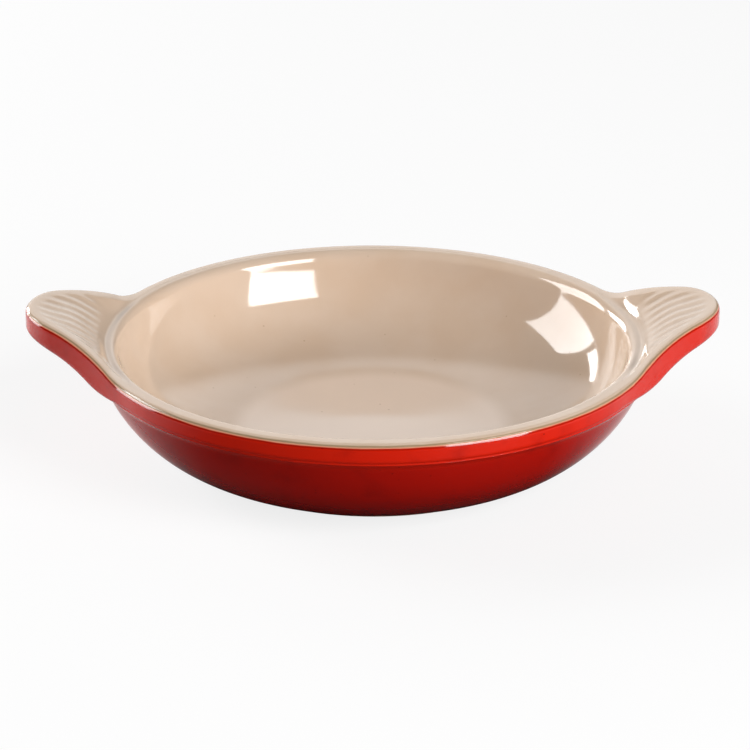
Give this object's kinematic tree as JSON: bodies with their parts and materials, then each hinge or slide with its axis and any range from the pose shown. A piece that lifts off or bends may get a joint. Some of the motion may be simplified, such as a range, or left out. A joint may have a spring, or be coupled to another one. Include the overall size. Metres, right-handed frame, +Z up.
{
  "type": "gratin dish",
  "caption": "Shallow round oven dish for one helping, with a curved wall, a plain rim band and upswept fluted lugs at both ends.",
  "frame": {"origin": "on the table under the middle of the dish, level with the underside of its foot ring", "axes": "+X along the line through both lugs, +Y across the dish, +Z up"},
  "size_m": [0.1928, 0.156, 0.0433],
  "materials": {
    "bare_clay": "matte unglazed stoneware",
    "cream_glaze": "glossy warm cream glaze",
    "red_glaze": "glossy red glaze"
  },
  "bodies": {
    "root": {"clay_body": "bare_clay", "cream_glaze": "cream_glaze", "red_glaze": "red_glaze", "base_glaze": "red_glaze"}
  },
  "joints": []
}
